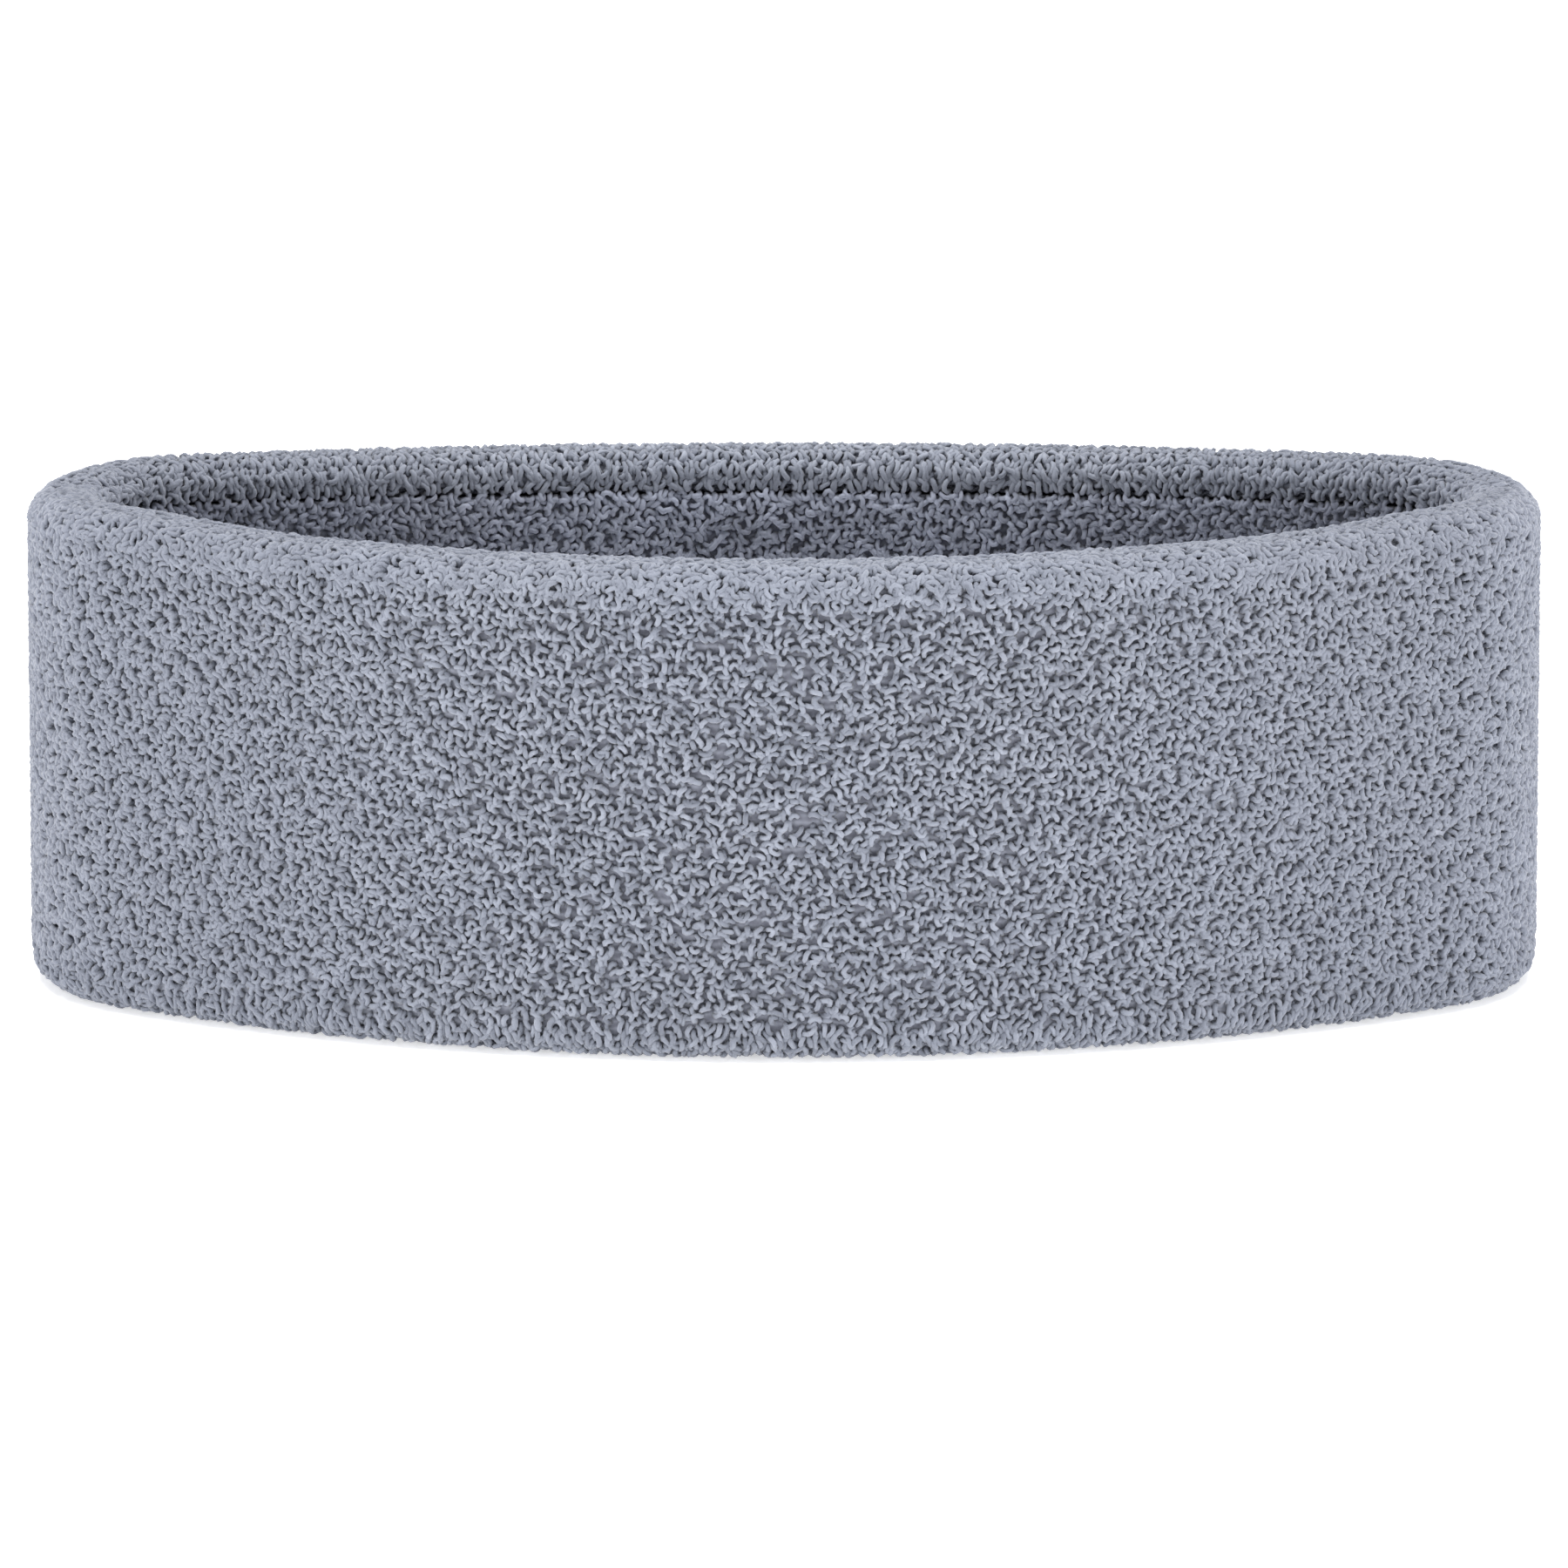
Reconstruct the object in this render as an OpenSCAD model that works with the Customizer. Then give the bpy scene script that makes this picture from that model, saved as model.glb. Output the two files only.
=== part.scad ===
// Towelling sweatband for the head.
// A knitted terry tube is folded double on itself, so that its loops face outward and inward,
// and one linked seam closes it. The band stands open on its lower edge.
// Origin: middle of the footprint, on the surface that the lower edge rests on.
// +Z up, -Y to the front, +X to the right, millimetres.

/* [Outline] */
// Distance between the centres of the two end arcs
end_spacing = 134.4; // [120:2.4:150]
// Radius of the two end arcs, at the middle of the wall
end_radius = 17; // [12:0.5:20]
// How far the front arc's centre lies behind the line of the end arcs' centres
front_centre = 108; // [80:1:200]
// How far the back arc's centre lies in front of that line
back_centre = 400.4; // [200:0.4:600]

/* [Wall] */
// Height of the band from its lower edge to its upper edge
band_height = 58.9; // [45:0.1:80]
// Thickness of the doubled wall, loops included
wall = 9.2; // [9.2:0.1:12]
// Radius that rounds the folded upper and lower edges
edge_radius = 3.4; // [2.8:0.1:4.4]
// Distance of each groove line from its edge
hem_height = 4.5; // [4:0.1:8]
// Width of the groove lines
groove_width = 0.8; // [0.4:0.1:1.6]

/* [Layers] */
// Depth of the towelling loops
pile = 2.4; // [1.8:0.1:2.5]
// Thickness of the ground knit that carries the loops
ground = 1.3; // [1:0.1:1.3]
// Diameter of the covered elastic yarns
elastic_d = 0.8; // [0.5:0.1:0.9]
// Number of elastic yarns behind each of the two layers
elastic_count = 10; // [6:1:16]
// Diameter of the thread that links the tube's two ends
seam_d = 1; // [0.6:0.1:1.2]

/* [Hidden] */
$fn = 96;

half_wall = wall / 2;
core_gap = wall - 2 * (pile + ground);
least_corner = 0.8;
corner_steps_per_mm = 2;

// The plan is four arcs that meet tangentially: the line through the centres of two
// neighbouring arcs is also the line where they meet.
end_x = end_spacing / 2;
front_radius = end_radius + norm([end_x, front_centre]);
back_radius = end_radius + norm([end_x, back_centre]);
front_depth = front_radius - front_centre;
back_depth = back_radius - back_centre;
end_line_y = (front_depth - back_depth) / 2;

// The closed line of the seam lies in the inner layer, level with the upper groove.
seam_x = -(half_wall - pile - ground / 2);
seam_z = band_height - hem_height;

// Elastic yarns are spread evenly between the two groove lines.
elastic_x = core_gap / 4;
elastic_pitch = (band_height - 2 * hem_height) / (elastic_count + 1);

// One arc of the band about a centre, kept inside a field of the plan.
module arc(x, y, radius, field) {
    intersection() {
        translate([x, y, 0]) rotate_extrude() translate([radius, 0]) children();
        translate([0, 0, -1]) linear_extrude(band_height + 2) polygon(field);
    }
}

// Carries a wall section once round the band. The section's x is the distance outward from
// the middle of the wall, and its y is the height. The four fields part the plan along the
// lines where the arcs meet.
module around_band() {
    front_far = [2 * end_x, -front_centre];
    back_far = [2 * end_x, back_centre];
    front_field = [[0, front_centre], front_far, [-front_far.x, front_far.y]];
    back_field = [[0, -back_centre], back_far, [-back_far.x, back_far.y]];
    end_field = [[end_x, 0], front_far, back_far];
    translate([0, end_line_y, 0]) {
        arc(0, front_centre, front_radius, front_field) children();
        arc(0, -back_centre, back_radius, back_field) children();
        arc(end_x, 0, end_radius, end_field) children();
        mirror([1, 0, 0]) arc(end_x, 0, end_radius, end_field) children();
    }
}

// Points of a quarter circle that rounds one corner, from angle start on. The chords are all
// about as long, whatever the radius.
function corner_arc(x, z, r, start) =
    let (steps = ceil(corner_steps_per_mm * r))
        [for (step = [0:steps]) let (a = start + 90 * step / steps)
            [x + r * cos(a), z + r * sin(a)]];

// The wall's rounded section, drawn in from its surface by inset.
module wall_section(inset) {
    half = half_wall - inset;
    corner = min(max(edge_radius - inset, least_corner), half - 0.1);
    x = half - corner;
    low = inset + corner;
    high = band_height - low;
    polygon(concat(corner_arc(x, high, corner, 0), corner_arc(-x, high, corner, 90),
        corner_arc(-x, low, corner, 180), corner_arc(x, low, corner, 270)));
}

// The layer of loops all round the wall, with a shallow groove where each edge begins.
module pile_section() {
    difference() {
        wall_section(0);
        wall_section(pile);
        for (x = [-half_wall, half_wall], z = [hem_height, band_height - hem_height])
            translate([x, z]) rotate(45) square(groove_width, center = true);
    }
}

// The part of the layer of loops between two heights, from x on and over the given width.
module pile_zone(x, low, width, high) {
    intersection() {
        pile_section();
        translate([x, low]) square([width, high - low]);
    }
}

// Evenly spaced rings of elastic yarn, all at one distance from the middle of the wall.
module elastic_section(x, shift) {
    for (row = [1:elastic_count])
        translate([x, hem_height + (row + shift) * elastic_pitch]) circle(d = elastic_d);
}

// Loops on the outside of the band, between the groove lines.
module outer_pile() {
    color("#989FAE") around_band()
        pile_zone(0, hem_height, wall, band_height - hem_height);
}

// Loops on the side that lies against the head, between the groove lines.
module inner_pile() {
    color("#7C8392") around_band()
        pile_zone(-wall, hem_height, wall, band_height - hem_height);
}

// Loops that turn round one fold of the tube, drawn at the lower edge.
module edge_pile() {
    around_band() pile_zone(-wall, 0, 2 * wall, hem_height);
}

// Loops that turn over the upper fold.
module top_edge_pile() {
    color("#A3AABA") translate([0, 0, band_height]) mirror([0, 0, 1]) edge_pile();
}

// Loops that turn under the lower fold. Their flat underside carries the band.
module bottom_edge_pile() {
    color("#8E95A4") edge_pile();
}

// The ground knit: one tube folded double, open only where the seam closes it.
module knit_sleeve() {
    color("#5E6472") around_band() difference() {
        wall_section(pile);
        wall_section(pile + ground);
        translate([seam_x, seam_z]) square([2 * ground, seam_d], center = true);
    }
}

// Elastic yarns behind the outer layer.
module outer_elastic_yarns() {
    color("#D9D9D4") around_band() elastic_section(elastic_x, -0.25);
}

// Elastic yarns behind the inner layer, staggered between those of the outer layer.
module inner_elastic_yarns() {
    color("#C9C9C4") around_band() elastic_section(-elastic_x, 0.25);
}

// The linking thread that joins the two ends of the folded tube.
module closing_seam() {
    color("#B9BEC9") around_band() translate([seam_x, seam_z]) circle(d = seam_d);
}

outer_pile();
inner_pile();
top_edge_pile();
bottom_edge_pile();
knit_sleeve();
outer_elastic_yarns();
inner_elastic_yarns();
closing_seam();
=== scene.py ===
"""Towelling sweatband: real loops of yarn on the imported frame, a studio floor, light and camera."""

import math

import bpy
import numpy as np
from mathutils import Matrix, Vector


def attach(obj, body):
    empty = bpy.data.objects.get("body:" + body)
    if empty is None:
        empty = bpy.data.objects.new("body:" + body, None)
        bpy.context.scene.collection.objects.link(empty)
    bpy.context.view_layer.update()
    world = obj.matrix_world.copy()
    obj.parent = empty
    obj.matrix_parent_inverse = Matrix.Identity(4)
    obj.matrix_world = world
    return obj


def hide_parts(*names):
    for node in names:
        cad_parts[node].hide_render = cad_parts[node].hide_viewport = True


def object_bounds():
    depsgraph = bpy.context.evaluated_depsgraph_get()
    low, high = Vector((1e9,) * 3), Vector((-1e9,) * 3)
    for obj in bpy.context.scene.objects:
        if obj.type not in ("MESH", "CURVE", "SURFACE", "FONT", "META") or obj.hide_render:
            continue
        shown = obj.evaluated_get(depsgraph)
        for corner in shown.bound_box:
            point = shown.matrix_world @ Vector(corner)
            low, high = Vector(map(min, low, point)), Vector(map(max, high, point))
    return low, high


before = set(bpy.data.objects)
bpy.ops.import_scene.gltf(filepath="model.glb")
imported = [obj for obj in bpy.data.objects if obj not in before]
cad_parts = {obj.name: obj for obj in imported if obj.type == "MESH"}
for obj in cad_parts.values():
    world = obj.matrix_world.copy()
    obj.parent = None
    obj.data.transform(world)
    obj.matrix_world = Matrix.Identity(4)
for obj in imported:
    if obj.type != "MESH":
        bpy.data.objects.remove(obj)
cad_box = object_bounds()

HEIGHT = cad_box[1][2]
MM = 0.001
SEED = 20418

# Plan of the wall's middle line: four arcs that meet tangentially.
END_X = 67.2 * MM
END_RADIUS = 17.0 * MM
FRONT_CENTRE = 108.0 * MM
BACK_CENTRE = 400.4 * MM
LINE_Y = 6.8 * MM

# Wall section: a rounded rectangle. The hems are the rolled edges above and below.
WALL = 9.2 * MM
EDGE_RADIUS = 3.4 * MM
LEAST_CORNER = 0.5 * MM
HEM_HEIGHT = 4.5 * MM
PILE = 2.4 * MM
GROUND = 1.3 * MM

# The upper edge stands up where the front turns into the ends.
LIP_RISE = 0.9 * MM
LIP_REACH = 13 * MM
LIP_DEPTH = 7 * MM

# Groove lines: bare margins between the zones of loops, and how far loops heed them.
GROOVE = 0.2 * MM
FAINT = 0.12 * MM
NEAR_GROOVE = 0.8 * MM

# One loop of yarn.
YARN_RADIUS = 0.32 * MM
YARN_SPREAD = (0.9, 1.1)
YARN_SIDES = 5
YARN_RINGS = 7
ROOT_DEPTH = 1.05 * MM
TIP_RISE = 0.1 * MM
LOOP_TOP = ROOT_DEPTH - YARN_RADIUS + TIP_RISE
LOOP_CURL = 0.2 * MM
LOOP_BULGE = 0.35
LOOP_CROWN = 0.6
LEAN_CROWN = 1.5

# Places of the loops, closer together round the ends, and the most loops in one piece.
OUTER_PITCH = 0.985 * MM
INNER_PITCH = 0.87 * MM
LOOP_JITTER = 0.27
CLOSER_ENDS = 0.6
CLOSER_RANGE = 1.25
PACKING_STEPS = 1500
MOST_LOOPS = 2900

# Loops of the plain zones. In front, the middle is thinned a little.
LOOP_WIDTH = (0.75 * MM, 1.2 * MM)
LOOP_LEAN = (0.1 * MM, 0.85 * MM)
UNEVEN = 0.24 * MM
FACING_FRONT = 0.93
FACING_RANGE = 0.07
THINNED = 0.06

# Loops round the ends lean more, stand more evenly and are thicker.
END_START = 0.15
END_RANGE = 0.45
END_LEAN = 0.35 * MM
END_EVEN = 0.7
END_THICKER = 0.15

# Loops over the folds, in courses with valleys, gaps and notches between them.
EDGE_PITCH = 0.78 * MM
EDGE_ROW = 0.86 * MM
EDGE_WIDTH = (0.95 * MM, 1.5 * MM)
EDGE_LEAN = (0.0 * MM, 0.6 * MM)
EDGE_UNEVEN = 0.14 * MM
COURSE = 2.6 * MM
EDGE_GROUP = 2.6 * MM
VALLEY_START = 0.45
VALLEY_RANGE = 0.55
VALLEY_SINK = 0.35
GAP_SINK = 0.65
GAP_START = 0.3
GAP_RANGE = 0.7
NOTCH_START = 0.7
NOTCH_RANGE = 0.3
DROPPED = 0.62
COMB_SPREAD = 0.45
ROUND_ENDS = 0.5
CALM_LEAN = 0.4 * MM
CALM_THICKER = 0.08
TOP_CALM = 0.7
BOTTOM_NOTCHED = 1.2

# Ground knit.
GROUND_STEPS = 240
GROUND_POINTS = 190
GROUND_OVER_ROOTS = 0.1 * MM
SEAM_GAP = 0.5 * MM
ON_SIDE = 1e-6

# Seam: two strands that cross at every stitch.
STITCH = 2.6 * MM
STITCH_STEPS = 10
SEAM_DEPTH = 1.75 * MM
THREAD_RADIUS = 0.2 * MM
THREAD_SIDES = 6
STRAND_DEPTH = 0.16 * MM
STRAND_RISE = 0.3 * MM

# UV map: a square grid of cells, one for each loop, with a margin inside every cell.
CELLS = 54
CELL_MARGIN = 0.04
CELL_FILL = 0.92

# Shades of the yarn and of the ground knit, on the way from the dark colour to the light one.
BASE_SHADE = 0.2
OWN_SHADE = 0.4
HEATHER_SHADE = 0.5
# Painted shade: how much darker the yarn is painted towards its roots, deep among the loops.
PAINTED_ROOT_SHADE_STRENGTH = 1.4
STITCH_SHADE = 0.3
# Painted light: how much lighter the ground knit is painted round the ends.
END_PAINTED_LIGHT = 0.8

# Painted light: contrast that the yarn loses round the ends, painted root shade included, as for
# evenly lit loops, and the share of it lost on the front's upper fold.
PAINTED_EVEN_LIGHT = 0.9
FOLD_PAINTED_EVEN_LIGHT = 0.7

# The two plies: their turns along one loop, and their height against the fibres.
PLY_TURNS = 7.0
PLY_HEIGHT = 0.35

TINT = (0.95, 0.97, 1.0, 1)
OUTER_LIGHT = (0.345, 0.365, 0.425, 1)
OUTER_DARK = (0.11, 0.12, 0.15, 1)
# Painted shade: the outer yarn is darkened a little round the ends.
OUTER_END_PAINTED_SHADE = (0.86, 0.86, 0.87, 1)
# Painted light: the inner pile is the same terry as the outer, painted lighter to make up for the dim
# inside.
INNER_LIT_LIGHT = (0.51, 0.54, 0.645, 1)
INNER_LIT_DARK = (0.16, 0.17, 0.21, 1)
# Painted shade: the inner yarn is darkened much more round the ends.
INNER_END_PAINTED_SHADE = (0.54, 0.54, 0.56, 1)
GROUND_LIGHT = (0.35, 0.37, 0.435, 1)
GROUND_DARK = (0.10, 0.105, 0.135, 1)
ELASTIC_LIGHT = (0.75, 0.75, 0.72, 1)
ELASTIC_DARK = (0.55, 0.55, 0.52, 1)
THREAD_LIGHT = (0.26, 0.27, 0.32, 1)
THREAD_DARK = (0.14, 0.15, 0.18, 1)
WHITE = (1, 1, 1, 1)
PAPER = (0.92, 0.92, 0.92, 1)

# Studio.
FLOOR_HALF = 80.0
FLOOR_GLOW = 0.5
LIGHT_TARGET = (0, 0, 0.03)
SKY_STRENGTH = 0.54
HORIZON = (0.04, 0.08)


class Plan:
    """The closed line round the middle of the wall, and its parallels."""

    def __init__(self):
        front = math.atan2(END_X, FRONT_CENTRE)
        back = math.atan2(END_X, BACK_CENTRE)
        pi = math.pi
        self.turns = np.array([-front, front, pi - back, pi + back, 2 * pi - front])
        self.radii = np.array([
            END_RADIUS + math.hypot(END_X, FRONT_CENTRE),
            END_RADIUS,
            END_RADIUS + math.hypot(END_X, BACK_CENTRE),
            END_RADIUS,
        ])
        self.centres = np.array([
            [0.0, FRONT_CENTRE + LINE_Y],
            [END_X, LINE_Y],
            [0.0, LINE_Y - BACK_CENTRE],
            [-END_X, LINE_Y],
        ])

    def starts(self, offset):
        """Lengths at which the arcs start on the parallel at this distance outward."""
        lengths = np.diff(self.turns) * (self.radii + offset)
        return np.concatenate([[0.0], np.cumsum(lengths)])

    def length(self, offset=0.0):
        return float(self.starts(offset)[-1])

    def turn(self, along, offset=0.0):
        """Facing angle at lengths along the parallel, and the arc each is on."""
        starts = self.starts(offset)
        along = np.mod(along, starts[-1])
        arc = np.clip(np.searchsorted(starts, along, side="right") - 1, 0, 3)
        return self.turns[arc] + (along - starts[arc]) / (self.radii[arc] + offset), arc

    def point(self, turn, arc, offset):
        """Points in plan at a distance outward from the line, and outward directions."""
        out = np.stack([np.sin(turn), -np.cos(turn)], axis=-1)
        return self.centres[arc] + out * (self.radii[arc] + offset)[..., None], out


def lip(plan, middle, z):
    """How far the upper edge stands up where the front turns into the ends."""
    corner = plan.starts(0.0)[1] / 2
    half = plan.length() / 2
    from_front = np.abs(np.mod(middle - corner + half, plan.length()) - half)
    bump = np.exp(-(((from_front - corner) / LIP_REACH) ** 2))
    near = np.clip((z - HEIGHT + LIP_DEPTH) / LIP_DEPTH, 0, 1)
    return LIP_RISE * bump * near ** 2


class Section:
    """Closed outline of the wall's section, inset from its surface. It starts half way up
    the outer side, rises, crosses over the upper edge, falls inside and returns underneath."""

    def __init__(self, inset=0.0):
        half = WALL / 2 - inset
        corner = max(EDGE_RADIUS - inset, LEAST_CORNER)
        corner = min(corner, half)
        side = (HEIGHT - 2 * inset - 2 * corner) / 2
        cap = 2 * (half - corner)
        quarter = corner * math.pi / 2
        self.corner = corner
        self.lengths = np.array([side, quarter, cap, quarter, 2 * side, quarter, cap, quarter, side])
        self.bends = np.array([0, 1, 0, 1, 0, 1, 0, 1, 0])
        self.at = np.concatenate([[0.0], np.cumsum(self.lengths)])
        angle, x, z = 0.0, half, HEIGHT / 2
        starts = []
        for length, bend in zip(self.lengths, self.bends):
            starts.append((x, z, angle))
            if bend:
                x += corner * (math.cos(angle + math.pi / 2) - math.cos(angle))
                z += corner * (math.sin(angle + math.pi / 2) - math.sin(angle))
                angle += math.pi / 2
            else:
                x -= length * math.sin(angle)
                z += length * math.cos(angle)
        self.begin = np.array(starts)

    def length(self):
        return float(self.at[-1])

    def place(self, along):
        """Distance outward, height and direction angle at lengths along the outline."""
        along = np.mod(along, self.at[-1])
        piece = np.clip(np.searchsorted(self.at, along, side="right") - 1, 0, 8)
        x, z, angle = self.begin[piece].T
        run = along - self.at[piece]
        bent = angle + run / self.corner
        bx = x + self.corner * (np.cos(bent) - np.cos(angle))
        bz = z + self.corner * (np.sin(bent) - np.sin(angle))
        bends = self.bends[piece] == 1
        lx = x - run * np.sin(angle)
        lz = z + run * np.cos(angle)
        return np.where(bends, bx, lx), np.where(bends, bz, lz), np.where(bends, bent, angle)


# Seeds of loops ---------------------------------------------------------------------------


def packing(plan, offset):
    """Lengths along a parallel, and the running number of loops there: closer at the ends."""
    along = np.linspace(0, plan.length(offset), PACKING_STEPS)
    turn, _ = plan.turn(along, offset)
    round_end = np.clip(CLOSER_RANGE - CLOSER_RANGE * np.abs(np.cos(turn)), 0, 1) ** 0.5
    closeness = 1 + CLOSER_ENDS * round_end
    steps = (closeness[1:] + closeness[:-1]) * np.diff(along) / 2
    return along, np.concatenate([[0.0], np.cumsum(steps)])


def seed_rows(plan, section, low, high, rng, pitch, row_pitch):
    """Staggered, slightly uneven places for loops between two lengths along the outline."""
    count = max(1, round((high - low) / row_pitch))
    step = (high - low) / count
    rows = []
    for row in range(count):
        middle = low + (row + 0.5) * step
        offset = float(section.place(np.array([middle]))[0][0])
        along, running = packing(plan, offset)
        loops = round(running[-1] / pitch)
        slots = np.arange(loops) + 0.5 * (row % 2)
        slots = slots + rng.uniform(-LOOP_JITTER, LOOP_JITTER, loops)
        across = middle + rng.uniform(-LOOP_JITTER, LOOP_JITTER, loops) * step
        places = np.interp(np.mod(slots, loops) / loops * running[-1], running, along)
        rows.append(frame_at(plan, section, places, offset, across))
    return {key: np.concatenate([row[key] for row in rows]) for key in rows[0]}


def chosen_seeds(seeds, kept):
    return {key: value[kept] for key, value in seeds.items()}


def frame_at(plan, section, along, offset, across):
    """Position and the three directions at places on the surface."""
    turn, arc = plan.turn(along, offset)
    x, z, angle = section.place(across)
    flat, out = plan.point(turn, arc, x)
    zero = np.zeros_like(turn)
    normal = np.stack([out[:, 0] * np.cos(angle), out[:, 1] * np.cos(angle), np.sin(angle)], -1)
    up = np.stack([-out[:, 0] * np.sin(angle), -out[:, 1] * np.sin(angle), np.cos(angle)], -1)
    side = np.stack([np.cos(turn), np.sin(turn), zero], -1)
    middle = plan.starts(0.0)[arc] + (turn - plan.turns[arc]) * plan.radii[arc]
    z = z + lip(plan, middle, z)
    return {
        "point": np.stack([flat[:, 0], flat[:, 1], z], -1),
        "normal": normal,
        "up": up,
        "side": side,
        "middle": middle,
        "across": across,
    }


# Loops of yarn ----------------------------------------------------------------------------


def bend_loops(seeds, heading, width, lean, height, curl):
    """Centre points of every loop: out of the ground, over its tip and back."""
    t = np.linspace(0.0, 1.0, YARN_RINGS)
    arch = np.sin(math.pi * t)
    spread = -np.cos(math.pi * t) * (1 + LOOP_BULGE * arch) / 2
    rise = arch ** LOOP_CROWN
    cos, sin = np.cos(heading)[:, None], np.sin(heading)[:, None]
    along = seeds["side"] * cos + seeds["up"] * sin
    over = seeds["up"] * cos - seeds["side"] * sin
    root = seeds["point"] - seeds["normal"] * ROOT_DEPTH
    line = root[:, None, :] + along[:, None, :] * (width[:, None] * spread)[..., None]
    sway = lean[:, None] * arch ** LEAN_CROWN + curl[:, None] * np.sin(2 * math.pi * t)
    line = line + over[:, None, :] * sway[..., None]
    line = line + seeds["normal"][:, None, :] * (height[:, None] * rise)[..., None]
    plane = np.cross(along, seeds["normal"] * height[:, None] + over * lean[:, None])
    return line, plane


def turned_away(heading, across, low, high, margins):
    """Headings with those of loops next to a groove turned so that they lean away from it."""
    rising = np.cos(heading) > 0
    below = (across - low < NEAR_GROOVE) & (margins[0] >= GROOVE)
    above = (high - across < NEAR_GROOVE) & (margins[1] >= GROOVE)
    wrong = (below & ~rising) | (above & rising)
    return np.where(wrong, math.pi - heading, heading)


def tube_points(line, plane, radius):
    """Rings of vertices round the centre lines."""
    tangent = np.gradient(line, axis=1)
    tangent /= np.linalg.norm(tangent, axis=-1, keepdims=True)
    first = plane[:, None, :] - tangent * np.sum(plane[:, None, :] * tangent, -1, keepdims=True)
    first /= np.linalg.norm(first, axis=-1, keepdims=True)
    second = np.cross(tangent, first)
    turn = np.arange(YARN_SIDES) * 2 * math.pi / YARN_SIDES
    cos, sin = np.cos(turn)[:, None], np.sin(turn)[:, None]
    ring = first[:, :, None, :] * cos + second[:, :, None, :] * sin
    return line[:, :, None, :] + ring * radius[:, None, None, None]


def tube_faces():
    """Corners of one loop's faces, with a place along and around for each corner."""
    corners, places, totals = [], [], []
    for ring in range(YARN_RINGS - 1):
        for side in range(YARN_SIDES):
            after = (side + 1) % YARN_SIDES
            low, high = ring * YARN_SIDES, (ring + 1) * YARN_SIDES
            corners += [low + side, low + after, high + after, high + side]
            places += [(side, ring), (side + 1, ring), (side + 1, ring + 1), (side, ring + 1)]
            totals.append(4)
    last = (YARN_RINGS - 1) * YARN_SIDES
    corners += list(reversed(range(YARN_SIDES)))
    corners += list(range(last, last + YARN_SIDES))
    places += [(side, 0) for side in reversed(range(YARN_SIDES))]
    places += [(side, YARN_RINGS - 1) for side in range(YARN_SIDES)]
    totals += [YARN_SIDES, YARN_SIDES]
    places = np.array(places, float) / [YARN_SIDES, YARN_RINGS - 1]
    return np.array(corners), places, np.array(totals)


def mesh_object(name, points, corners, totals, uvs):
    """A mesh built from whole arrays, shaded smooth, with its own UV map."""
    mesh = bpy.data.meshes.new(name)
    mesh.vertices.add(len(points))
    mesh.vertices.foreach_set("co", points.astype(np.float32).ravel())
    mesh.loops.add(len(corners))
    mesh.loops.foreach_set("vertex_index", corners.astype(np.int32))
    mesh.polygons.add(len(totals))
    starts = np.concatenate([[0], np.cumsum(totals)[:-1]])
    mesh.polygons.foreach_set("loop_start", starts.astype(np.int32))
    mesh.polygons.foreach_set("use_smooth", np.ones(len(totals), bool))
    layer = mesh.uv_layers.new(name="OFBake")
    layer.data.foreach_set("uv", uvs.astype(np.float32).ravel())
    mesh.update(calc_edges=True)
    mesh.validate()
    obj = bpy.data.objects.new(name, mesh)
    bpy.context.scene.collection.objects.link(obj)
    return obj


def loop_mesh(name, vertices):
    """One mesh of many closed loops. Each loop has its own cell of the UV map."""
    count = len(vertices)
    per = YARN_RINGS * YARN_SIDES
    corners, places, totals = tube_faces()
    all_corners = (corners[None, :] + (np.arange(count) * per)[:, None]).ravel()
    cell = np.stack([np.arange(count) % CELLS, np.arange(count) // CELLS], -1)
    inside = CELL_MARGIN + CELL_FILL * places
    uvs = (cell[:, None, :] + inside[None, :, :]) / CELLS
    points = vertices.reshape(-1, 3)
    return mesh_object(name, points, all_corners, np.tile(totals, count), uvs.reshape(-1, 2))


def loops_in_sectors(zone, node, material, made):
    """Splits a zone's loops into sectors round the band, each a piece of its own."""
    seeds, vertices = zone
    order = np.argsort(seeds["middle"], kind="stable")
    parts = math.ceil(len(order) / MOST_LOOPS)
    for index, chosen in enumerate(np.array_split(order, parts)):
        obj = loop_mesh(f"{node}_{index + 1}", vertices[chosen])
        obj.data.materials.append(material)
        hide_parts(node)
        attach(obj, "root")
        made.append(obj)


def pile_zone(plan, section, low, high, margins, pitch, rng):
    """Loops of a plain zone, each leaning its own way."""
    seeds = seed_rows(plan, section, low + margins[0], high - margins[1], rng, pitch, pitch)
    front = np.clip(seeds["side"][:, 0] - FACING_FRONT, 0, FACING_RANGE) / FACING_RANGE
    seeds = chosen_seeds(seeds, rng.uniform(0, 1, len(front)) > THINNED * front)
    count = len(seeds["middle"])
    ends = np.clip((np.abs(seeds["side"][:, 1]) - END_START) / END_RANGE, 0, 1)
    heading = rng.uniform(0, 2 * math.pi, count)
    heading = turned_away(heading, seeds["across"], low, high, margins)
    width = rng.uniform(*LOOP_WIDTH, count)
    lean = rng.uniform(*LOOP_LEAN, count) + END_LEAN * ends
    height = LOOP_TOP - np.abs(rng.normal(0, UNEVEN, count)) * (1 - END_EVEN * ends)
    curl = rng.uniform(-LOOP_CURL, LOOP_CURL, count)
    line, plane = bend_loops(seeds, heading, width, lean, height, curl)
    radius = YARN_RADIUS * rng.uniform(*YARN_SPREAD, count) * (1 + END_THICKER * ends)
    return seeds, tube_points(line, plane, radius)


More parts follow.
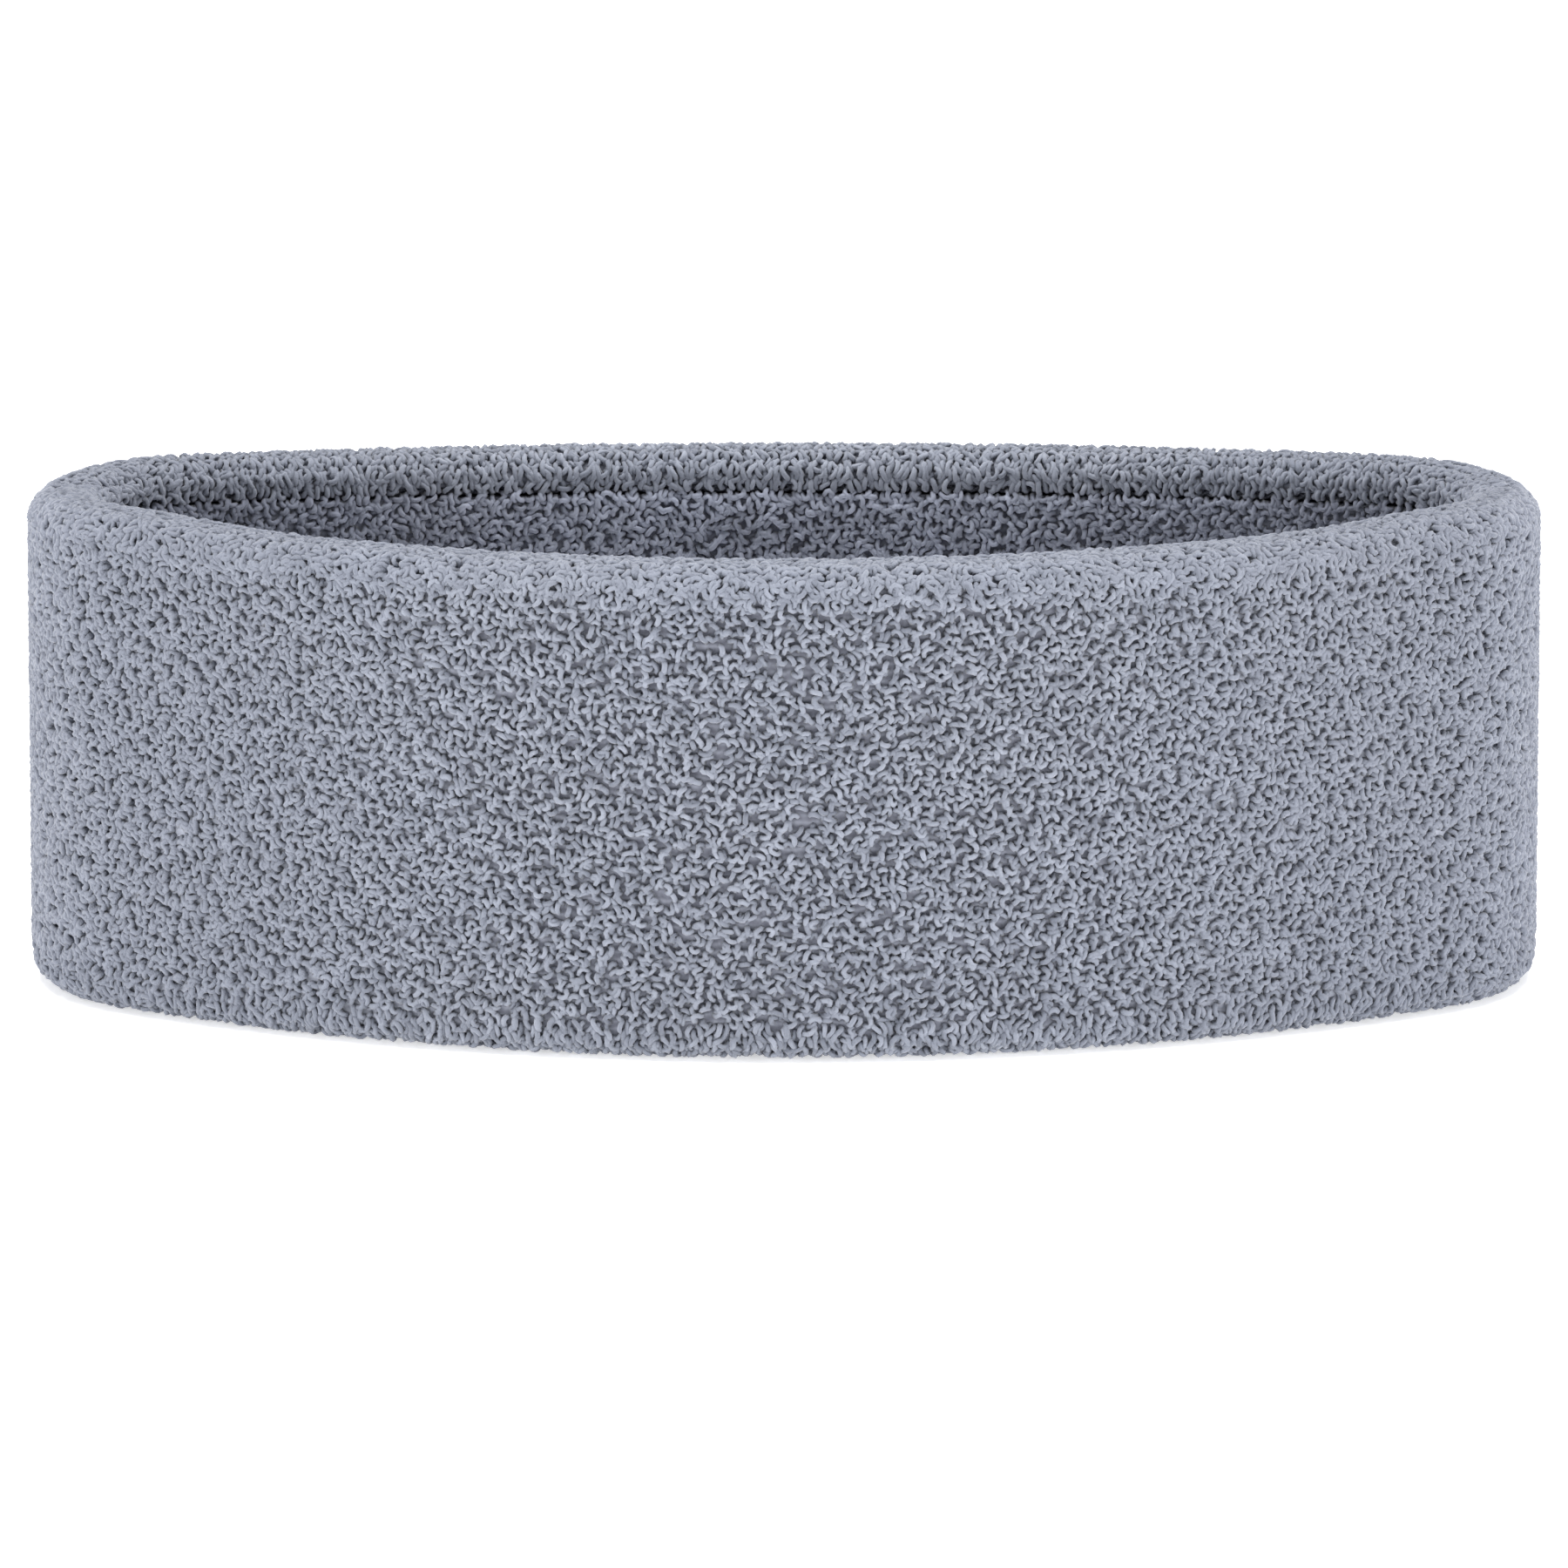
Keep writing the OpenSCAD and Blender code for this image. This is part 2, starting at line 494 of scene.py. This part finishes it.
def sunk_between(seeds, low, high, notched, quiet):
    """How far loops over a fold are sunk: in the valleys between courses, and in notches."""
    course = (seeds["across"] - (low + high) / 2) / COURSE + 0.5
    valley = np.clip(np.abs(course % 1.0 - 0.5) * 2 - VALLEY_START, 0, 1) / VALLEY_RANGE
    shift = 0.5 * (np.round(course) % 2)
    gap = np.abs((seeds["middle"] / EDGE_GROUP + shift) % 1.0 - 0.5) * 2
    deeper = VALLEY_SINK + GAP_SINK * np.clip(gap - GAP_START, 0, 1) / GAP_RANGE
    notches = notched * np.clip(gap - NOTCH_START, 0, 1) / NOTCH_RANGE
    return np.maximum(valley * deeper * quiet, notches)


def edge_zone(plan, section, low, high, margins, calm, notched, rng):
    """Loops that run over a fold, in courses with small gaps between. A calm fold has
    fewer gaps in front, and a notched one has a row of deeper ones."""
    seeds = seed_rows(plan, section, low + margins[0], high - margins[1], rng, EDGE_PITCH, EDGE_ROW)
    forward = seeds["side"][:, 0] > 0
    quiet = 1 - calm * forward
    sink = sunk_between(seeds, low, high, notched, quiet)
    kept = sink < DROPPED
    seeds, sink, quiet = chosen_seeds(seeds, kept), sink[kept], quiet[kept]
    count = len(sink)
    upright = (rng.choice([0.0, 1.0], count) + 0.5) * math.pi
    upright = upright + rng.normal(0, COMB_SPREAD, count)
    combed = (quiet == 1) & (np.abs(seeds["side"][:, 1]) < ROUND_ENDS)
    heading = np.where(combed, upright, rng.uniform(0, 2 * math.pi, count))
    width = rng.uniform(*EDGE_WIDTH, count)
    lean = rng.uniform(*EDGE_LEAN, count) + CALM_LEAN * (quiet < 1)
    height = LOOP_TOP - np.abs(rng.normal(0, EDGE_UNEVEN, count)) * quiet - sink * MM
    curl = rng.uniform(-LOOP_CURL, LOOP_CURL, count)
    line, plane = bend_loops(seeds, heading, width, lean, height, curl)
    thicker = 1 + CALM_THICKER - CALM_THICKER * quiet
    radius = YARN_RADIUS * rng.uniform(*YARN_SPREAD, count) * thicker
    return seeds, tube_points(line, plane, radius)


# Ground knit and seam ---------------------------------------------------------------------


def swept(name, plan, outline, steps):
    """A closed section carried once round the band: a mesh of quads."""
    along = np.linspace(0, plan.length(), steps, endpoint=False)
    turn, arc = plan.turn(along)
    ring = len(outline)
    turn, arc = np.repeat(turn, ring), np.repeat(arc, ring)
    x = np.tile(outline[:, 0], steps)
    z = np.tile(outline[:, 1], steps)
    flat, _ = plan.point(turn, arc, x)
    z = z + lip(plan, np.repeat(along, ring), z)
    points = np.column_stack([flat, z])
    i, j = np.meshgrid(np.arange(steps), np.arange(ring), indexing="ij")
    a = i * ring + j
    b = i * ring + (j + 1) % ring
    c = ((i + 1) % steps) * ring + (j + 1) % ring
    d = ((i + 1) % steps) * ring + j
    corners = np.stack([a, d, c, b], -1).reshape(-1)
    u = np.stack([i, i + 1, i + 1, i], -1) / steps
    v = np.stack([j, j, j + 1, j + 1], -1) / ring
    uvs = np.stack([u, v], -1).reshape(-1, 2)
    return mesh_object(name, points, corners, np.full(steps * ring, 4), uvs)


def ground_outline():
    """The ground knit's section: one tube folded double, open where the seam closes it."""
    outer = Section(ROOT_DEPTH - GROUND_OVER_ROOTS)
    inner = Section(PILE + GROUND)
    seam_z = HEIGHT - HEM_HEIGHT
    points = []
    for section, sign in ((outer, 1), (inner, -1)):
        sides = np.linspace(0, section.length(), GROUND_POINTS, endpoint=False)
        x, z, _ = section.place(sides)
        on_inner_side = (x < 0) & (np.abs(x + section.begin[0][0]) < ON_SIDE)
        gap = on_inner_side & (np.abs(z - seam_z) < SEAM_GAP)
        start = int(np.flatnonzero(gap)[-1]) + 1
        order = np.roll(np.arange(GROUND_POINTS), -start)
        order = order[~gap[order]]
        points.append(np.column_stack([x, z])[order][::sign])
    return np.concatenate(points)


def strand_rings(plan, steps, phase_start):
    """Rings of vertices along one strand of the seam."""
    along = np.arange(steps) * plan.length() / steps
    turn, arc = plan.turn(along)
    phase = 2 * math.pi * np.arange(steps) / STITCH_STEPS + phase_start
    x = -(WALL / 2 - SEAM_DEPTH) + STRAND_DEPTH * np.cos(phase)
    z = HEIGHT - HEM_HEIGHT + STRAND_RISE * np.sin(phase)
    flat, _ = plan.point(turn, arc, x)
    centre = np.column_stack([flat, z])
    tangent = np.roll(centre, -1, 0) - np.roll(centre, 1, 0)
    tangent /= np.linalg.norm(tangent, axis=1, keepdims=True)
    first = np.cross(tangent, [0.0, 0.0, 1.0])
    first /= np.linalg.norm(first, axis=1, keepdims=True)
    second = np.cross(tangent, first)
    spin = np.arange(THREAD_SIDES) * 2 * math.pi / THREAD_SIDES
    ring = first[:, None] * np.cos(spin)[:, None] + second[:, None] * np.sin(spin)[:, None]
    return centre[:, None] + ring * THREAD_RADIUS


def seam_chain(plan):
    """Two strands that cross each other in the inner groove, as a row of linked stitches."""
    steps = round(plan.length() / STITCH) * STITCH_STEPS
    rings = [strand_rings(plan, steps, start) for start in (0.0, math.pi)]
    points = np.concatenate(rings).reshape(-1, 3)
    k, i, j = np.meshgrid([0, 1], np.arange(steps), np.arange(THREAD_SIDES), indexing="ij")

    def corner(row, side):
        return (k * steps + row % steps) * THREAD_SIDES + side % THREAD_SIDES

    corners = np.stack([corner(i, j), corner(i, j + 1), corner(i + 1, j + 1), corner(i + 1, j)], -1)
    u = np.stack([i, i, i + 1, i + 1], -1) / steps
    v = (np.stack([j, j + 1, j + 1, j], -1) / THREAD_SIDES + k[..., None]) / 2
    uvs = np.stack([u, v], -1).reshape(-1, 2)
    totals = np.full(2 * steps * THREAD_SIDES, 4)
    return mesh_object("seam_stitches", points, corners.reshape(-1), totals, uvs)


# Materials --------------------------------------------------------------------------------


def shader_node(tree, kind, **values):
    """A shader node with its settings and constants."""
    made = tree.nodes.new(kind)
    for key, value in values.items():
        if key in made.inputs:
            made.inputs[key].default_value = value
        else:
            setattr(made, key, value)
    return made


def new_material(name):
    material = bpy.data.materials.new(name)
    material.use_nodes = True
    return material, material.node_tree, material.node_tree.nodes["Principled BSDF"]


def math_node(tree, operation, a, b=0.0):
    made = tree.nodes.new("ShaderNodeMath")
    made.operation = operation
    for socket, value in zip(made.inputs, (a, b)):
        if isinstance(value, (int, float)):
            socket.default_value = value
        else:
            tree.links.new(value, socket)
    return made.outputs[0]


def mix_colour(tree, factor, first, second, blend="MIX"):
    made = tree.nodes.new("ShaderNodeMix")
    made.data_type = "RGBA"
    made.blend_type = blend
    for socket, value in ((made.inputs[0], factor), (made.inputs[6], first), (made.inputs[7], second)):
        if isinstance(value, (int, float, tuple)):
            socket.default_value = value
        else:
            tree.links.new(value, socket)
    return made.outputs[2]


def noise_at(tree, place, scale, detail):
    made = shader_node(tree, "ShaderNodeTexNoise", Scale=scale, Detail=detail)
    tree.links.new(place, made.inputs["Vector"])
    return made.outputs[0]


def bump_from(tree, height, shader, strength, distance):
    made = shader_node(tree, "ShaderNodeBump", Strength=strength, Distance=distance)
    tree.links.new(height, made.inputs["Height"])
    tree.links.new(made.outputs[0], shader.inputs["Normal"])


def smooth_step(tree, value, start, stop):
    """0 below the first value, 1 above the second, and a smooth rise between them."""
    made = shader_node(tree, "ShaderNodeMapRange", interpolation_type="SMOOTHSTEP")
    made.inputs["From Min"].default_value = start
    made.inputs["From Max"].default_value = stop
    tree.links.new(value, made.inputs["Value"])
    return made.outputs["Result"]


def parted(tree, vector):
    """The three numbers of a vector."""
    made = shader_node(tree, "ShaderNodeSeparateXYZ")
    tree.links.new(vector, made.inputs[0])
    return made.outputs


def near_ends(tree, place):
    """1 round the two ends of the band, 0 in the middle of its front and back."""
    sideways = math_node(tree, "ABSOLUTE", parted(tree, place)[0])
    return smooth_step(tree, sideways, 25 * MM, 80 * MM)


def near_fold(tree, place):
    """1 on the upper fold of the front, 0 below it and behind."""
    parts = parted(tree, place)
    high = smooth_step(tree, parts[2], HEIGHT - 4 * MM, HEIGHT - 1 * MM)
    forward = smooth_step(tree, math_node(tree, "MULTIPLY", parts[1], -1.0), 0.0, 20 * MM)
    return math_node(tree, "MULTIPLY", high, forward)


def loop_coordinates(tree):
    """A number for each loop, and the places around and along its yarn, from the UV map."""
    link = tree.links.new
    uv = shader_node(tree, "ShaderNodeUVMap", uv_map="OFBake")
    scaled = shader_node(tree, "ShaderNodeVectorMath", operation="SCALE", Scale=float(CELLS))
    link(uv.outputs[0], scaled.inputs[0])
    whole = shader_node(tree, "ShaderNodeVectorMath", operation="FLOOR")
    link(scaled.outputs[0], whole.inputs[0])
    part = shader_node(tree, "ShaderNodeVectorMath", operation="FRACTION")
    link(scaled.outputs[0], part.inputs[0])
    own = shader_node(tree, "ShaderNodeTexWhiteNoise", noise_dimensions="2D")
    link(whole.outputs[0], own.inputs[0])
    around, along, _ = parted(tree, part.outputs[0])
    return own.outputs["Value"], around, along


def yarn_material(name, light, dark, end_painted_shade):
    """Spun cotton yarn: every loop has its own tone and two plies twist. Painted shade darkens the
    roots and the ends, and painted light lowers the contrast round the ends and on the front's upper
    fold.
    """
    material, tree, shader = new_material(name)
    own, around, along = loop_coordinates(tree)
    place = shader_node(tree, "ShaderNodeTexCoord").outputs["Object"]
    heather = noise_at(tree, place, 420.0, 3.0)
    patches = noise_at(tree, place, 38.0, 2.0)
    fibres = noise_at(tree, place, 5200.0, 2.0)

    # Painted shade: each loop darkens from its tip towards its roots.
    from_tip = math_node(tree, "ABSOLUTE", math_node(tree, "SUBTRACT", along, 0.5))
    painted_root_shade = math_node(tree, "MULTIPLY", from_tip, from_tip)
    # Painted light: round the ends and on the front's upper fold the yarn's contrast is lowered,
    # painted root shade included.
    ends = near_ends(tree, place)
    fold = math_node(tree, "MULTIPLY", near_fold(tree, place), FOLD_PAINTED_EVEN_LIGHT)
    calm = math_node(tree, "MAXIMUM", ends, fold)
    contrast = math_node(tree, "SUBTRACT", 1.0, math_node(tree, "MULTIPLY", calm, PAINTED_EVEN_LIGHT))
    painted_root_shade = math_node(tree, "MULTIPLY", math_node(tree, "MULTIPLY", painted_root_shade, PAINTED_ROOT_SHADE_STRENGTH), contrast)
    shade = math_node(tree, "SUBTRACT", own, 0.5)
    shade = math_node(tree, "MULTIPLY", math_node(tree, "MULTIPLY", shade, OWN_SHADE), contrast)
    shade = math_node(tree, "ADD", shade, BASE_SHADE)
    shade = math_node(tree, "ADD", shade, math_node(tree, "MULTIPLY", heather, HEATHER_SHADE))
    shade = math_node(tree, "SUBTRACT", shade, painted_root_shade)
    colour = mix_colour(tree, shade, dark, light)
    colour = mix_colour(tree, patches, colour, TINT, "MULTIPLY")
    # Painted shade: the yarn is darkened round the ends.
    colour = mix_colour(tree, ends, colour, end_painted_shade, "MULTIPLY")
    tree.links.new(colour, shader.inputs["Base Color"])

    twist = math_node(tree, "ADD", math_node(tree, "MULTIPLY", along, PLY_TURNS), around)
    ply = math_node(tree, "SINE", math_node(tree, "MULTIPLY", twist, 4 * math.pi))
    ridge = math_node(tree, "ADD", math_node(tree, "MULTIPLY", ply, PLY_HEIGHT), fibres)
    bump_from(tree, ridge, shader, 0.3, 0.1 * MM)
    shader.inputs["Roughness"].default_value = 0.92
    shader.inputs["Specular IOR Level"].default_value = 0.2
    shader.inputs["Sheen Weight"].default_value = 0.25
    shader.inputs["Sheen Roughness"].default_value = 0.5
    return material


def knit_material(name, light, dark):
    """Fine jersey ground: rows of small stitches, with painted light that makes it lighter round the
    ends.
    """
    material, tree, shader = new_material(name)
    link = tree.links.new
    place = shader_node(tree, "ShaderNodeTexCoord").outputs["Object"]
    cells = shader_node(tree, "ShaderNodeTexVoronoi", Scale=1400.0)
    link(place, cells.inputs["Vector"])
    waves = shader_node(tree, "ShaderNodeTexWave", bands_direction="Z", Scale=300.0, Distortion=2.0)
    link(place, waves.inputs["Vector"])
    stitch = math_node(tree, "SUBTRACT", 1.0, cells.outputs[0])
    height = math_node(tree, "ADD", waves.outputs["Fac"], stitch)
    # Painted light: the ground is lighter round the ends, so the pits between the loops there look
    # less dark.
    painted_light_at_ends = math_node(tree, "MULTIPLY", near_ends(tree, place), END_PAINTED_LIGHT)
    shade = math_node(tree, "ADD", math_node(tree, "MULTIPLY", height, STITCH_SHADE), painted_light_at_ends)
    link(mix_colour(tree, shade, dark, light), shader.inputs["Base Color"])
    bump_from(tree, height, shader, 0.6, 0.2 * MM)
    shader.inputs["Roughness"].default_value = 0.95
    return material


def wound_material(name, light, dark, fineness):
    """Covered or spun thread: fine turns round the core."""
    material, tree, shader = new_material(name)
    link = tree.links.new
    place = shader_node(tree, "ShaderNodeTexCoord").outputs["Object"]
    waves = shader_node(
        tree, "ShaderNodeTexWave", bands_direction="DIAGONAL", Scale=fineness, Distortion=0.6
    )
    link(place, waves.inputs["Vector"])
    turns = waves.outputs["Fac"]
    link(mix_colour(tree, turns, dark, light), shader.inputs["Base Color"])
    bump_from(tree, turns, shader, 0.5, 0.1 * MM)
    shader.inputs["Roughness"].default_value = 0.7
    return material


# Stage ------------------------------------------------------------------------------------


def make_floor():
    far = FLOOR_HALF
    corners = [(-far, -far, 0), (far, -far, 0), (far, far, 0), (-far, far, 0)]
    mesh = bpy.data.meshes.new("floor")
    mesh.from_pydata(corners, [], [(0, 1, 2, 3)])
    floor = bpy.data.objects.new("floor", mesh)
    bpy.context.scene.collection.objects.link(floor)
    material, _, shader = new_material("paper")
    shader.inputs["Base Color"].default_value = PAPER
    shader.inputs["Roughness"].default_value = 0.9
    shader.inputs["Emission Color"].default_value = WHITE
    shader.inputs["Emission Strength"].default_value = FLOOR_GLOW
    mesh.materials.append(material)


def make_light(name, place, size, power):
    data = bpy.data.lights.new(name, "AREA")
    data.shape = "RECTANGLE"
    data.size, data.size_y = size
    data.energy = power
    light = bpy.data.objects.new(name, data)
    light.location = place
    light.rotation_mode = "QUATERNION"
    light.rotation_quaternion = (Vector(LIGHT_TARGET) - Vector(place)).to_track_quat("-Z", "Y")
    bpy.context.scene.collection.objects.link(light)


def make_world():
    """Even white light, with the walls of the studio white just above the floor."""
    world = bpy.data.worlds.new("studio")
    world.use_nodes = True
    tree = world.node_tree
    background = tree.nodes["Background"]
    background.inputs["Color"].default_value = WHITE
    place = shader_node(tree, "ShaderNodeTexCoord").outputs["Generated"]
    above = smooth_step(tree, parted(tree, place)[2], *HORIZON)
    dimmer = math_node(tree, "MULTIPLY", above, SKY_STRENGTH - 1.0)
    tree.links.new(math_node(tree, "ADD", dimmer, 1.0), background.inputs["Strength"])
    bpy.context.scene.world = world


def make_camera():
    """A long lens at the photograph's angle: from the front, looking down a little."""
    lens, sensor = 400.0, 36.0
    frame_width, elevation, aim = 0.18417, math.radians(14.4), 24.9 * MM
    distance = frame_width * lens / sensor
    data = bpy.data.cameras.new("camera")
    data.lens, data.sensor_width = lens, sensor
    data.clip_start, data.clip_end = 0.1, 200.0
    camera = bpy.data.objects.new("camera", data)
    back = Vector((0, -math.cos(elevation), math.sin(elevation)))
    camera.location = Vector((0, 0, aim)) + back * distance
    camera.rotation_mode = "QUATERNION"
    camera.rotation_quaternion = (-back).to_track_quat("-Z", "Y")
    bpy.context.scene.collection.objects.link(camera)
    bpy.context.scene.camera = camera


# Build ------------------------------------------------------------------------------------

terry_outer = yarn_material("terry_outer", OUTER_LIGHT, OUTER_DARK, OUTER_END_PAINTED_SHADE)
# Painted light: the inner pile's copy of the terry is painted lighter.
terry_inner = yarn_material("terry_inner", INNER_LIT_LIGHT, INNER_LIT_DARK, INNER_END_PAINTED_SHADE)
ground_knit = knit_material("ground_knit", GROUND_LIGHT, GROUND_DARK)
elastic = wound_material("elastic", ELASTIC_LIGHT, ELASTIC_DARK, 900.0)
thread = wound_material("seam_thread", THREAD_LIGHT, THREAD_DARK, 1500.0)

rng = np.random.default_rng(SEED)
plan = Plan()
surface = Section()

# Lengths along the outline at which the zones meet: outer side, upper fold, inner side, lower fold.
side = HEIGHT / 2 - HEM_HEIGHT
over = surface.length() / 2 - 2 * side
inner_low = side + over
inner_high = inner_low + 2 * side

loops = []
zone = pile_zone(plan, surface, -side, side, (FAINT, 0.0), OUTER_PITCH, rng)
loops_in_sectors(zone, "outer_pile", terry_outer, loops)
zone = pile_zone(plan, surface, inner_low, inner_high, (GROOVE, GROOVE), INNER_PITCH, rng)
loops_in_sectors(zone, "inner_pile", terry_inner, loops)
zone = edge_zone(plan, surface, side, inner_low, (0.0, GROOVE), TOP_CALM, 0.0, rng)
loops_in_sectors(zone, "top_edge_pile", terry_outer, loops)
zone = edge_zone(
    plan, surface, inner_high, inner_high + over, (GROOVE, FAINT), 0.0, BOTTOM_NOTCHED, rng
)
loops_in_sectors(zone, "bottom_edge_pile", terry_outer, loops)

ground = swept("terry_ground", plan, ground_outline(), GROUND_STEPS)
ground.data.materials.append(ground_knit)
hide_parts("knit_sleeve")
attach(ground, "root")

seam = seam_chain(plan)
seam.data.materials.append(thread)
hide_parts("closing_seam")
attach(seam, "root")

for name in ("outer_elastic_yarns", "inner_elastic_yarns"):
    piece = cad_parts[name]
    piece.data.materials.clear()
    piece.data.materials.append(elastic)

make_floor()
make_world()
make_light("left", place=(-1.8, -0.75, 0.16), size=(1.6, 0.3), power=30)
make_light("right", place=(1.8, -0.75, 0.16), size=(1.6, 0.3), power=30)
make_light("top", place=(0, 0.1, 1.8), size=(1.4, 1.4), power=48)
make_camera()
bpy.context.scene.view_settings.view_transform = "Standard"
